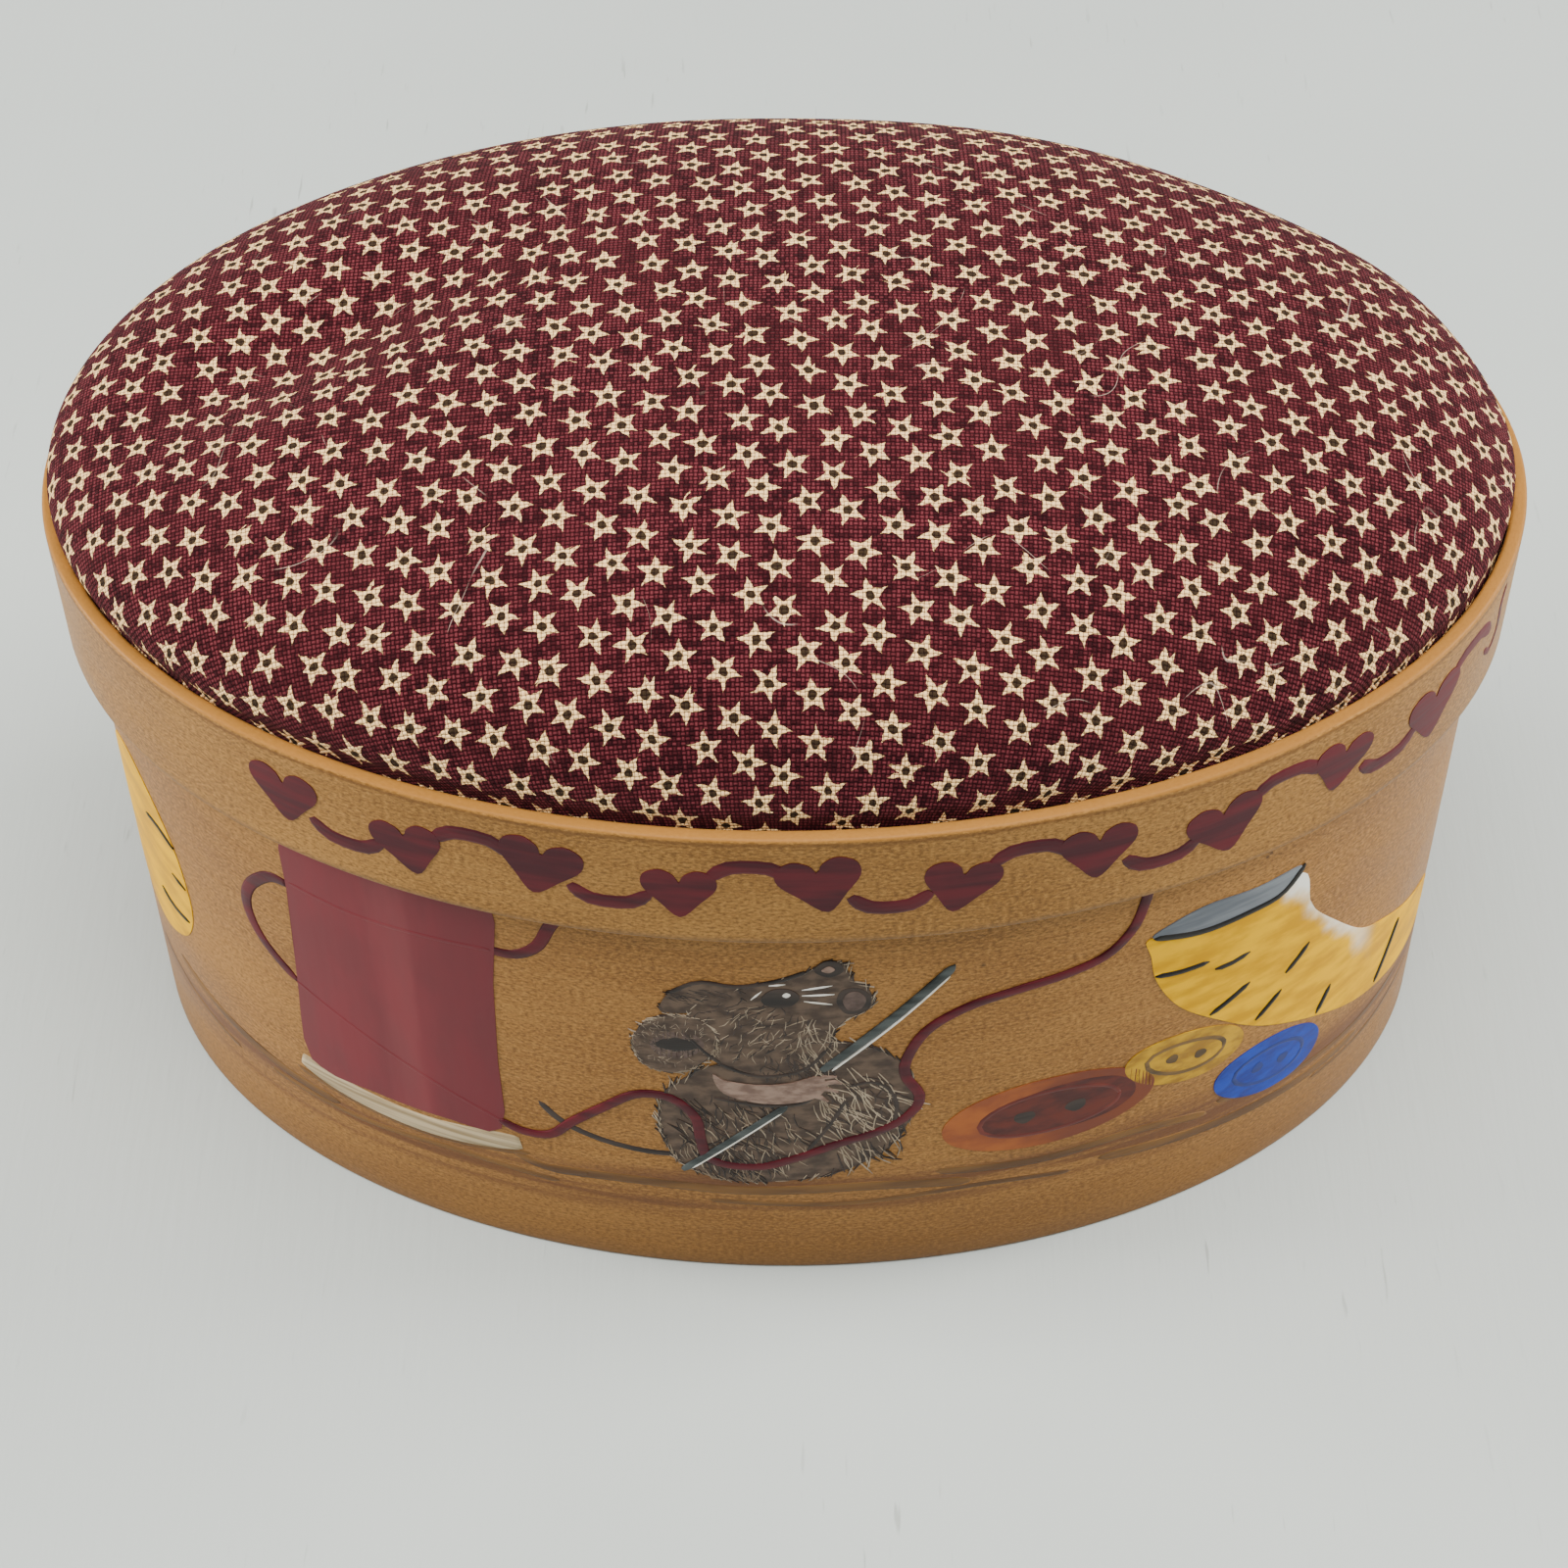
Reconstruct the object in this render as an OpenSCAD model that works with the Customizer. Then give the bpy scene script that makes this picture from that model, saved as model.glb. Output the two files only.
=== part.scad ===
// Oval bentwood sewing box with a pincushion lid.
//
// The origin is at the centre of the base, +Z up, +X along the oval's length,
// and the front of the box faces -Y. The laps of both bands are at the back.
// All sizes are in millimetres.

/* [Lid] */
// Length of the lid over its band, left to right
lid_len = 150; // [110:1:220]
// Width of the lid over its band, front to back
lid_wid = 101; // [80:1:110]
// Height of the lid's bentwood band
lid_band_h = 15; // [14:1:24]
// How far the lid's skirt reaches down over the box
lid_skirt = 7; // [4:1:8]

/* [Box] */
// Height of the box band, without the lid
box_h = 66; // [50:1:110]
// Thickness of the bottom board and of the lid board
board_t = 3; // [2:0.5:3]

/* [Bentwood bands] */
// Thickness of both bands
band_t = 1.6; // [1.2:0.1:2.4]
// Clear space between the box band and the lid band, all round
lid_gap = 0.7; // [0.6:0.1:1.2]
// Length of the glued lap at the back of each band
lap_len = 24; // [16:1:36]

/* [Cushion] */
// Height of the cushion above the rim of the lid
crown_h = 19; // [12:1:30]
// Thickness of the cover cloth
cloth_t = 0.6; // [0.5:0.1:0.8]
// Thickness of the card that the cloth is pulled over
card_t = 2; // [1.5:0.5:2.5]

/* [Lap pins] */
// Diameter of a pin's flat head
pin_head_d = 2.4; // [1.8:0.2:3]
// Pins in the lap of the box band
box_pins = 4; // [2:1:5]
// Pins in the lap of the lid band
lid_pins = 2; // [1:1:2]

/* [Hidden] */

wood_colour = "burlywood";
board_colour = "wheat";
pin_colour = "goldenrod";
card_colour = "tan";
wadding_colour = "white";
cloth_colour = [0.42, 0.13, 0.17];

// Flat sides that an oval is cut into, a multiple of four
oval_sides = 144;
$fn = 96;

// Both bands are ovals: half lengths and half widths of their outer faces
lid_a = lid_len / 2;
lid_b = lid_wid / 2;
box_inset = band_t + lid_gap;
box_a = lid_a - box_inset;
box_b = lid_b - box_inset;

// Heights, from the base up. The lid board comes down on the box band's edge.
seat_gap = 0.1;
lid_board_z = box_h + seat_gap;
lid_z = lid_board_z - lid_skirt;
rim_z = lid_z + lid_band_h;

// The cushion lies in the shallow tray above the lid board
layer_gap = 0.1;
hem_z = lid_board_z + board_t + layer_gap;
card_z = hem_z + cloth_t + layer_gap;
filling_z = card_z + card_t + layer_gap;

// The cushion is widest a little above the rim
cushion_gap = 0.4;
bulge = 2;
widest_z = rim_z + bulge;
cushion_a = lid_a - band_t - cushion_gap;
cushion_b = lid_b - band_t - cushion_gap;
cushion_c = crown_h - bulge;
hem_w = 12;
card_inset = 7;

// A lap is scarfed flush, and shows as a fine seam outside and another inside
seam_w = 0.3;
seam_deep = 0.5;

pin_d = 0.9;
pin_head_t = 0.4;
pin_edge = 12;
lid_pin_edge = 4;
pin_from_seam = 5;

// Flat oval of half length a and half width b
module oval(a, b) {
    polygon([
        for (i = [0 : oval_sides - 1])
            let (t = 360 * i / oval_sides)
                [a * cos(t), b * sin(t)]
    ]);
}

// Upright oval post with a smooth wall
module round_oval(a, b, h) {
    scale([1, b / a, 1]) cylinder(r = a, h = h);
}

// Closed egg of half sizes a, b and c
module egg(a, b, c) {
    scale([1, b / a, c / a]) sphere(r = a);
}

// Slab that covers the whole plan, between two heights
module slab(z0, z1) {
    translate([-lid_len, -lid_wid, z0]) cube([2 * lid_len, 2 * lid_wid, z1 - z0]);
}

// Places its child on an oval's back face at x, with the child's +X pointing out
module at_back(a, b, x) {
    y = b * sqrt(1 - x * x / (a * a));
    translate([x, y]) rotate(atan2(y / (b * b), x / (a * a))) children();
}

// Wall of a bentwood band: an oval ring with the two seams of its lap
module band_wall(a, b) {
    difference() {
        oval(a, b);
        oval(a - band_t, b - band_t);
        at_back(a, b, lap_len / 2)
            translate([-seam_deep, -seam_w / 2]) square([2 * seam_deep, seam_w]);
        at_back(a - band_t, b - band_t, -lap_len / 2)
            translate([-seam_deep, -seam_w / 2]) square([2 * seam_deep, seam_w]);
    }
}

// Height of pin i of a row of count pins between two heights
function pin_height(i, count, low, high) =
    count == 1 ? (low + high) / 2 : low + i * (high - low) / (count - 1);

// Lays its child at each pin of a lap, with the child's +Z pointing out
module at_pins(a, b, count, low, high) {
    for (i = [0 : count - 1])
        translate([0, 0, pin_height(i, count, low, high)])
            at_back(a, b, lap_len / 2 - pin_from_seam)
                rotate([0, 90, 0]) children();
}

module at_box_pins() {
    at_pins(box_a, box_b, box_pins, pin_edge, lid_z - pin_edge / 2) children();
}

module at_lid_pins() {
    at_pins(lid_a, lid_b, lid_pins, lid_z + lid_pin_edge, rim_z - lid_pin_edge) children();
}

// One pin: a shank through the lap, cut off flush inside, and a flat head
module pin() {
    translate([0, 0, -band_t]) cylinder(d = pin_d, h = band_t);
    cylinder(d = pin_head_d, h = pin_head_t);
}

// The hole that a pin's shank fills, cut through both faces
module pin_hole() {
    translate([0, 0, -2 * band_t]) cylinder(d = pin_d, h = 3 * band_t);
}

module box_band() {
    color(wood_colour) difference() {
        linear_extrude(box_h) band_wall(box_a, box_b);
        at_box_pins() pin_hole();
    }
}

module box_bottom() {
    color(board_colour) linear_extrude(board_t) oval(box_a - band_t, box_b - band_t);
}

module box_lap_pins() {
    color(pin_colour) at_box_pins() pin();
}

module lid_band() {
    color(wood_colour) difference() {
        translate([0, 0, lid_z]) linear_extrude(lid_band_h) band_wall(lid_a, lid_b);
        at_lid_pins() pin_hole();
    }
}

module lid_board() {
    color(board_colour) translate([0, 0, lid_board_z])
        linear_extrude(board_t) oval(lid_a - band_t, lid_b - band_t);
}

module lid_lap_pins() {
    color(pin_colour) at_lid_pins() pin();
}

// Stiff oval card that carries the filling
module cushion_card() {
    color(card_colour) translate([0, 0, card_z])
        linear_extrude(card_t) oval(cushion_a - card_inset, cushion_b - card_inset);
}

// Wadding, crowned above the card
module cushion_filling() {
    skin = cloth_t + layer_gap;
    color(wadding_colour) intersection() {
        translate([0, 0, widest_z])
            egg(cushion_a - skin, cushion_b - skin, cushion_c - skin);
        slab(filling_z, rim_z + crown_h);
    }
}

// Cloth over the crown, down round the edge and turned in under the card
module cushion_cover() {
    color(cloth_colour) difference() {
        intersection() {
            translate([0, 0, widest_z]) egg(cushion_a, cushion_b, cushion_c);
            slab(hem_z, rim_z + crown_h + 1);
        }
        intersection() {
            translate([0, 0, widest_z])
                egg(cushion_a - cloth_t, cushion_b - cloth_t, cushion_c - cloth_t);
            slab(hem_z + cloth_t, rim_z + crown_h + 1);
        }
        translate([0, 0, hem_z - board_t])
            round_oval(cushion_a - card_inset - hem_w, cushion_b - card_inset - hem_w, 2 * board_t);
    }
}

box_band();
box_bottom();
box_lap_pins();
lid_band();
lid_board();
lid_lap_pins();
cushion_card();
cushion_filling();
cushion_cover();
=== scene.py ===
import math

import bmesh
import bpy
import numpy as np
from mathutils import Matrix, Vector


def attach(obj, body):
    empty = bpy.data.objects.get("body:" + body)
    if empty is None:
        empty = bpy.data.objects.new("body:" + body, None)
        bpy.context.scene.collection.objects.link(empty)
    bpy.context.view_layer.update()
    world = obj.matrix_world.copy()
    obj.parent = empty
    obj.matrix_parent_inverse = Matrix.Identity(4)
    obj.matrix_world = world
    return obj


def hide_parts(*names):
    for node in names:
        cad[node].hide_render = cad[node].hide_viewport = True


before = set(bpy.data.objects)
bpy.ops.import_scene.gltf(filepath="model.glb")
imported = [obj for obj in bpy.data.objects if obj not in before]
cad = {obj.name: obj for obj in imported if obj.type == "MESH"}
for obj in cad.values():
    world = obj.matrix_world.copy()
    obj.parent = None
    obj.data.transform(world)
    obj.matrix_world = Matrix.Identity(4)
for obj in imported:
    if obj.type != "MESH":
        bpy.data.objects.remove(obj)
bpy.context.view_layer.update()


def new_object(name, bm):
    """A mesh object of that name at the origin, holding what bm holds."""
    mesh = bpy.data.meshes.new(name)
    bm.to_mesh(mesh)
    bm.free()
    made = bpy.data.objects.new(name, mesh)
    bpy.context.scene.collection.objects.link(made)
    return made


def new_material(name, roughness=0.5, **settings):
    """A node material; returns it with its tree and its main shader."""
    material = bpy.data.materials.new(name)
    material.use_nodes = True
    tree = material.node_tree
    shader = tree.nodes["Principled BSDF"]
    shader.inputs["Roughness"].default_value = roughness
    for key, value in settings.items():
        shader.inputs[key.replace("_", " ")].default_value = value
    return material, tree, shader


def add(tree, kind, inputs, output=0, **settings):
    """Adds a node, sets or links its inputs, and returns one output."""
    made = tree.nodes.new("ShaderNode" + kind)
    for key, value in settings.items():
        setattr(made, key, value)
    for key, value in inputs.items():
        if isinstance(value, bpy.types.NodeSocket):
            tree.links.new(value, made.inputs[key])
        else:
            made.inputs[key].default_value = value
    return made.outputs[output]


def calc(tree, operation, a, b=0.0, c=0.0):
    """One sum on numbers."""
    return add(tree, "Math", {0: a, 1: b, 2: c}, operation=operation)


def fade(tree, value, low, high, start=0.0, end=1.0):
    """Goes smoothly from start to end as value goes from low to high."""
    inputs = {0: value, 1: low, 2: high, 3: start, 4: end}
    if low > high:
        inputs = {0: value, 1: high, 2: low, 3: end, 4: start}
    return add(tree, "MapRange", inputs, interpolation_type="SMOOTHSTEP")


def blend(tree, factor, a, b):
    """Lays colour b over colour a by factor. A colour is a socket or three
    numbers."""
    a, b = (c + (1,) if isinstance(c, tuple) else c for c in (a, b))
    return add(tree, "Mix", {0: factor, 6: a, 7: b}, 2, data_type="RGBA")


def tint(tree, shader, colour):
    """Gives the surface its colour."""
    tree.links.new(colour, shader.inputs["Base Color"])


def axis(tree, vector, which):
    """One number of a vector: 0 for x, 1 for y."""
    return add(tree, "SeparateXYZ", {0: vector}, which)


def grain(tree, where, across, detail=3.0, turn=0.0, roughness=0.55):
    """Noise from 0 to 1, with as many spots to the metre as across says."""
    placed = add(tree, "Mapping", {0: where, 2: (0, 0, turn), 3: across})
    return add(
        tree, "TexNoise", {"Vector": placed, "Scale": 1.0, "Detail": detail,
                           "Roughness": roughness}
    )


def bump(tree, shader, height, depth):
    """Raises the surface by height times depth metres."""
    normal = add(
        tree, "Bump", {"Height": height, "Distance": depth, "Strength": 1.0}
    )
    tree.links.new(normal, shader.inputs["Normal"])


TABLE_SIZE = 3.0
table_bm = bmesh.new()
bmesh.ops.create_grid(
    table_bm, x_segments=1, y_segments=1, size=TABLE_SIZE / 2
)
table_top = new_object("table_top", table_bm)
table_paint, tree, shader = new_material("table_paint", 0.55)
here = add(tree, "TexCoord", {}, "Object")
cloudy = grain(tree, here, (14, 14, 14))
marks = grain(tree, here, (900, 90, 90), 2.0, 0.7)
marked = calc(
    tree, "MULTIPLY", fade(tree, marks, 0.66, 0.74),
    fade(tree, grain(tree, here, (25, 25, 25), 1.0), 0.45, 0.62),
)
pale = blend(
    tree, cloudy, (0.42, 0.455, 0.435), (0.475, 0.51, 0.49)
)
marked_table = blend(
    tree, calc(tree, "MULTIPLY", marked, 0.8), pale, (0.30, 0.32, 0.30)
)
tint(tree, shader, marked_table)
bump(tree, shader, marks, 0.00005)
table_top.data.materials.append(table_paint)


def lamp(name, place, size, power, colour):
    """A square soft lamp that shines at the middle of the box."""
    data = bpy.data.lights.new(name, "AREA")
    data.size, data.energy, data.color = size, power, colour
    made = bpy.data.objects.new(name, data)
    aim = Vector((0, 0, 0.05)) - Vector(place)
    made.matrix_world = Matrix.Translation(place) @ aim.to_track_quat(
        "-Z", "Y"
    ).to_matrix().to_4x4()
    bpy.context.scene.collection.objects.link(made)


lamp("top_lamp", (0.05, -0.22, 1.10), 0.8, 19.0, (1.0, 0.99, 0.96))
lamp("left_lamp", (-0.85, 0.05, 0.45), 0.4, 13.0, (1.0, 0.97, 0.92))
lamp("right_lamp", (0.85, 0.15, 0.45), 0.4, 13.0, (1.0, 0.97, 0.92))

sky = bpy.data.worlds.new("sky")
sky.use_nodes = True
sky.node_tree.nodes["Background"].inputs["Color"].default_value = (
    0.93, 0.97, 1.0, 1
)
sky.node_tree.nodes["Background"].inputs["Strength"].default_value = 0.38
bpy.context.scene.world = sky

camera = bpy.data.objects.new("camera", bpy.data.cameras.new("camera"))
camera.data.lens = 76.1
camera.data.clip_start = 0.01
camera.matrix_world = (
    Matrix.Translation((0.0036, -0.2460, 0.3053))
    @ Matrix.Rotation(math.radians(0.90), 4, "Z")
    @ Matrix.Rotation(math.radians(90 - 48.77), 4, "X")
    @ Matrix.Rotation(math.radians(-0.63), 4, "Z")
)
bpy.context.scene.collection.objects.link(camera)
bpy.context.scene.camera = camera


# Box band: a thin strip of maple, steamed and bent round an oval former. Its
# ends are scarfed, glued and pinned over each other at the back. The outside
# is stained and varnished golden brown, and the inside is bare wood.
MM = 0.001
BAND_T = 1.6 * MM
BOX_A, BOX_B = 72.7 * MM, 48.2 * MM
BOX_TOP = 66 * MM
LAP = 24 * MM
TIP_T = 0.45 * MM
SEAM = 0.2 * MM
GLUE = 0.02 * MM
ROUNDED = 0.4 * MM
BAND_CUTS, LAP_CUTS = 301, 21


def round_oval(co, a, b):
    """Bends flat points (along, depth, height) round an oval of half sizes a
    and b, with along 0 at the middle of its front."""
    angle = np.linspace(-1.9 * np.pi, 0.9 * np.pi, 6001)
    x, y = a * np.cos(angle), b * np.sin(angle)
    run = np.concatenate([[0], np.cumsum(np.hypot(np.diff(x), np.diff(y)))])
    run -= np.interp(-np.pi / 2, angle, run)
    t = np.interp(co[:, 0], run, angle)
    out = np.stack([np.cos(t) / a, np.sin(t) / b], 1)
    out /= np.linalg.norm(out, axis=1)[:, None]
    flat = np.stack([a * np.cos(t), b * np.sin(t)], 1) - out * co[:, 1:2]
    return np.column_stack([flat, co[:, 2]])


def girth(a, b):
    """The way once round an oval."""
    t = np.linspace(0, 2 * np.pi, 6001)
    return float(
        np.hypot(np.diff(a * np.cos(t)), np.diff(b * np.sin(t))).sum()
    )


def bend(bm, a, b):
    """Lays every vertex of a flat bmesh round the oval."""
    co = round_oval(np.array([v.co for v in bm.verts]), a, b)
    for vert, place in zip(bm.verts, co):
        vert.co = place


def cut_across(bm, axis, places):
    """Cuts the whole bmesh square to an axis at each of the places."""
    square = Vector((axis == 0, axis == 1, axis == 2))
    for place in places:
        bmesh.ops.bisect_plane(
            bm, geom=bm.verts[:] + bm.edges[:] + bm.faces[:],
            plane_co=square * place, plane_no=square,
        )


def lay_uv(bm):
    """Writes the flat position, in metres, as the UV of each corner."""
    layer = bm.loops.layers.uv.new("flat")
    for face in bm.faces:
        for loop in face.loops:
            co = loop.vert.co
            loop[layer].uv = (co.x, co.z + co.y)


def bent_band(name, a, b, low, high):
    """A scarfed strip bent round the oval, bare wood on its inner face."""
    half = girth(a, b) / 2
    root = half - LAP / 2
    end = half + LAP / 2
    bm = bmesh.new()
    bmesh.ops.create_cube(bm, size=1)
    bmesh.ops.scale(bm, vec=(2 * end, BAND_T, high - low), verts=bm.verts)
    bmesh.ops.translate(
        bm, vec=(0, BAND_T / 2, (high + low) / 2), verts=bm.verts
    )
    long_edges = [
        e for e in bm.edges if abs(e.verts[0].co.x - e.verts[1].co.x) > end
    ]
    bmesh.ops.bevel(
        bm, geom=long_edges, offset=ROUNDED, segments=4, affect="EDGES",
        profile=0.5, material=-1,
    )
    cut_across(bm, 2, [low + 0.9 * MM, high - 0.9 * MM])
    places = list(np.linspace(-root, root, BAND_CUTS)[1:-1])
    for side in (-1, 1):
        places += [side * root, side * (root - SEAM)]
        places += list(side * np.linspace(root, end - SEAM, LAP_CUTS)[1:-1])
    cut_across(bm, 0, places)
    lay_uv(bm)
    for vert in bm.verts:
        x, y = vert.co.x, vert.co.y
        share = min(max((abs(x) - root) / LAP, 0), 1)
        if x < -root + SEAM / 2:
            deep = TIP_T + (BAND_T - 2 * TIP_T) * (1 - share)
            vert.co.y = y * deep / BAND_T
            vert.co.x = max(x, -end + SEAM)
        elif x > root - SEAM / 2:
            deep = TIP_T + (BAND_T - 2 * TIP_T) * (1 - share) - GLUE
            vert.co.y = BAND_T - (BAND_T - y) * deep / BAND_T
            vert.co.x = min(x, end - SEAM)
    bmesh.ops.recalc_face_normals(bm, faces=bm.faces[:])
    for face in bm.faces:
        face.smooth = True
        face.material_index = 1 if face.normal.y > 0.9 else 0
    bend(bm, a, b)
    made = new_object(name, bm)
    made.data.set_sharp_from_angle(angle=math.radians(40))
    return made


def maple(name, dark, light, varnish):
    """Bent maple: fine flecks and streaks along the strip. Returns the
    material with its tree, shader, place and wood colour."""
    material, tree, shader = new_material(name, 0.42, Specular_IOR_Level=0.08)
    where = add(tree, "UVMap", {}, uv_map="flat")
    streaks = grain(tree, where, (45, 900, 1), 5.0, 0.0, 0.65)
    clouds = grain(tree, where, (35, 60, 1), 3.0)
    flecks = grain(tree, where, (1800, 3200, 1), 3.0, 0.0, 0.7)
    figure = calc(
        tree, "ADD", calc(tree, "MULTIPLY", streaks, 0.35),
        calc(tree, "MULTIPLY", clouds, 0.65),
    )
    wood = blend(tree, fade(tree, figure, 0.30, 0.70), dark, light)
    wood = blend(
        tree, fade(tree, flecks, 0.50, 0.63, 0.0, 0.60), wood,
        tuple(0.45 * c for c in dark),
    )
    wood = blend(
        tree, fade(tree, flecks, 0.49, 0.37, 0.0, 0.50), wood,
        tuple(min(1, 1.5 * c) for c in light),
    )
    pits = add(tree, "TexVoronoi", {"Vector": where, "Scale": 330.0})
    rare = grain(tree, where, (70, 70, 1), 2.0)
    wood = blend(
        tree, calc(
            tree, "MULTIPLY", fade(tree, pits, 0.10, 0.05),
            fade(tree, rare, 0.56, 0.66, 0.0, 0.8),
        ), wood, (0.05, 0.025, 0.012),
    )
    shader.inputs["Coat Weight"].default_value = varnish
    shader.inputs["Coat Roughness"].default_value = 0.22
    tree.links.new(
        fade(tree, clouds, 0.3, 0.7, 0.34, 0.5), shader.inputs["Roughness"]
    )
    tint(tree, shader, wood)
    bump(tree, shader, calc(tree, "ADD", streaks, flecks), 0.03 * MM)
    return material, tree, shader, where, wood


raw_maple, tree, shader, where, wood = maple(
    "raw_maple", (0.50, 0.33, 0.18), (0.68, 0.50, 0.31), 0.0
)
shader.inputs["Roughness"].default_value = 0.7

box_maple, tree, shader, where, wood = maple(
    "box_maple", (0.212, 0.092, 0.021), (0.332, 0.163, 0.047), 0.03
)
up = axis(tree, where, 1)
along = axis(tree, where, 0)
drift = calc(
    tree, "MULTIPLY_ADD", grain(tree, where, (18, 18, 1), 2.0), 10 * MM,
    -5 * MM,
)
height = calc(tree, "ADD", up, drift)
washed = grain(tree, where, (16, 420, 1), 3.0, 0.03)
wash = calc(
    tree, "MULTIPLY",
    calc(
        tree, "MULTIPLY", fade(tree, height, 8.5 * MM, 11.5 * MM),
        fade(tree, height, 18.5 * MM, 14.5 * MM),
    ),
    fade(tree, washed, 0.40, 0.58, 0.15, 0.85),
)
front_only = fade(tree, calc(tree, "ABSOLUTE", along), 95 * MM, 82 * MM)
wash = calc(tree, "MULTIPLY", wash, front_only)
painted = blend(tree, wash, wood, (0.11, 0.042, 0.020))
# Darker towards the bottom, over the lowest 16 mm.
painted = blend(
    tree, fade(tree, height, 16 * MM, 2 * MM, 0.0, 0.45), painted,
    (0.150, 0.066, 0.016),
)
# Darker still along the lowest few millimetres.
darker_bottom_edge = fade(tree, height, 3.5 * MM, -1 * MM, 0.0, 0.55)
painted = blend(tree, darker_bottom_edge, painted, (0.16, 0.085, 0.04))
tint(tree, shader, painted)

box_strip = bent_band("box_strip", BOX_A, BOX_B, 0.0, BOX_TOP)
box_strip.data.materials.append(box_maple)
box_strip.data.materials.append(raw_maple)
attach(box_strip, "box")
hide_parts("box_band")


# Box bottom: a thin oval board of pale wood, glued inside the band's lower
# edge. It is bare, with straight grain from side to side.
board_wood, tree, shader = new_material("board_wood", 0.62)
here = add(tree, "TexCoord", {}, "Object")
rings = grain(tree, here, (18, 420, 420), 4.0)
pores = grain(tree, here, (300, 3000, 3000), 2.0)
figure = blend(
    tree, fade(tree, rings, 0.32, 0.68), (0.52, 0.36, 0.20),
    (0.72, 0.55, 0.35),
)
tint(tree, shader, blend(
    tree, fade(tree, pores, 0.58, 0.74, 0.0, 0.35), figure, (0.36, 0.23, 0.12)
))
bump(tree, shader, calc(tree, "ADD", rings, pores), 0.04 * MM)


def finish_node(name, material):
    """Gives a carried CAD node its material."""
    cad[name].data.materials.clear()
    cad[name].data.materials.append(material)


finish_node("box_bottom", board_wood)


# Box lap pins: four small brass pins with flat heads, driven through the lap
# at the back and dulled with age.
pin_brass, tree, shader = new_material("pin_brass", 0.35, Metallic=1.0)
here = add(tree, "TexCoord", {}, "Object")
tarnish = grain(tree, here, (1500, 1500, 1500), 3.0)
tint(tree, shader, blend(
    tree, fade(tree, tarnish, 0.35, 0.65), (0.62, 0.42, 0.16),
    (0.30, 0.19, 0.08),
))
tree.links.new(
    fade(tree, tarnish, 0.35, 0.65, 0.28, 0.55), shader.inputs["Roughness"]
)
bump(tree, shader, tarnish, 0.03 * MM)
finish_node("box_lap_pins", pin_brass)


# Lid band: a second, shallower strip of the same maple, bent a little larger
# so that it slips over the box. It is yellower than the box. Its rim is rubbed
# golden, with a painted highlight on its rounded edge above a thin line of
# painted shade, and its lower edge is darker with painted shade where it
# overlaps the box.
LID_A, LID_B = 75.0 * MM, 50.5 * MM
LID_LOW, RIM = 59.1 * MM, 74.1 * MM

lid_maple, tree, shader, where, wood = maple(
    "lid_maple", (0.220, 0.100, 0.023), (0.340, 0.172, 0.048), 0.03
)
up = axis(tree, where, 1)
patchy = grain(tree, where, (60, 200, 1), 3.0)
wavering = calc(tree, "MULTIPLY_ADD", patchy, 1.6 * MM, -0.8 * MM)
level = calc(tree, "ADD", up, wavering)
# Painted shade: a thin dark line just below the rounded rim edge.
rim_wear_highlight_and_shade = blend(
    tree, calc(
        tree, "MULTIPLY",
        fade(tree, level, RIM - 1.1 * MM, RIM - 0.7 * MM, 0.0, 0.6),
        fade(tree, level, RIM - 0.2 * MM, RIM - 0.6 * MM),
    ), wood, (0.12, 0.050, 0.014),
)
# Rubbed golden rim, also a painted highlight on its rounded outer edge.
rim_wear_highlight_and_shade = blend(
    tree, fade(tree, level, RIM - 0.4 * MM, RIM + 0.1 * MM, 0.0, 0.85), rim_wear_highlight_and_shade,
    (0.32, 0.140, 0.028),
)
# Painted shade along the lower edge, where the lid overlaps the box.
lid_edge_shade = blend(
    tree, fade(tree, level, LID_LOW + 1.3 * MM, LID_LOW, 0.0, 0.6), rim_wear_highlight_and_shade,
    (0.17, 0.095, 0.045),
)
tint(tree, shader, lid_edge_shade)

lid_strip = bent_band("lid_strip", LID_A, LID_B, LID_LOW, RIM)
lid_strip.data.materials.append(lid_maple)
lid_strip.data.materials.append(raw_maple)
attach(lid_strip, "lid")
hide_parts("lid_band")


# Lid board: the same pale board as the bottom, glued in the lid band part of
# the way up, so that it closes the box below and makes a tray above.
finish_node("lid_board", board_wood)


# Lid lap pins: two more of the brass pins, in the lap of the lid band.
finish_node("lid_lap_pins", pin_brass)


# Cushion card: an oval of grey-brown pressed card inside the cushion, which
# the cloth is pulled over and glued under.
pressed_card, tree, shader = new_material("pressed_card", 0.8)
here = add(tree, "TexCoord", {}, "Object")
fibres = grain(tree, here, (900, 900, 900), 4.0)
tint(
    tree, shader, blend(tree, fibres, (0.30, 0.24, 0.17), (0.48, 0.40, 0.30))
)
bump(tree, shader, fibres, 0.05 * MM)
finish_node("cushion_card", pressed_card)


# Cushion: a burgundy cotton printed with cream stars, pulled over loose
# wadding and the card and glued into the tray of the lid. The cloth is blown
# up by a pressure inside it from a slightly smaller form, held by its lower
# part in the tray. It has one broad dent at the back left.
CUSHION_A, CUSHION_B, CUSHION_C = 74.1 * MM, 49.4 * MM, 17.3 * MM
IN_TRAY_A = 73.3 * MM
WIDEST, UNDERSIDE = 76.1 * MM, 69.2 * MM
CUSHION_CUTS = 33
SLACK, HOLD, TUCK = 0.96, 0.95, 0.11
BLOWN_STEPS, EVENING = 20, 30
MOST_BLOWN = 3 * MM
STAR_PITCH = 4.37 * MM
ROW_PITCH = STAR_PITCH * math.sin(math.radians(60))
POINT_TURN = math.radians(36)
STAR_R, STAR_IN, DOT_R = 1.78 * MM, 0.74 * MM, 0.47 * MM
THREAD = 0.44 * MM

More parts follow.
